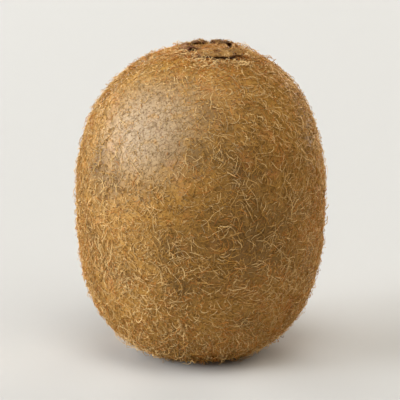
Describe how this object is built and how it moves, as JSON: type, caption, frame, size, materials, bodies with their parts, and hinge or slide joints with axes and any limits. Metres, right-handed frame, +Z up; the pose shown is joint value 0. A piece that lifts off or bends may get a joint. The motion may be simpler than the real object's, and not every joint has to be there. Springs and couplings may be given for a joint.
{
  "type": "kiwi fruit",
  "caption": "Whole fuzzy brown kiwi fruit standing on its blossom end, with a corky stem scar and dried sepals on top.",
  "frame": {"origin": "centre of the small flat spot at the blossom end, which the fruit stands on", "axes": "+Z up from the blossom end to the stem end; +X the wider way across, towards which the stem end leans; +Y the narrower way across"},
  "size_m": [0.0517, 0.0494, 0.0658],
  "materials": {
    "fuzzy_skin": "matte",
    "stem_cork": "matte",
    "dried_sepal": "matte"
  },
  "bodies": {
    "root": {"fruit": "fuzzy_skin", "stem_scar": "stem_cork", "dried_sepal_1": "dried_sepal", "dried_sepal_2": "dried_sepal", "dried_sepal_3": "dried_sepal", "dried_sepal_4": "dried_sepal", "dried_sepal_5": "dried_sepal"}
  },
  "joints": []
}
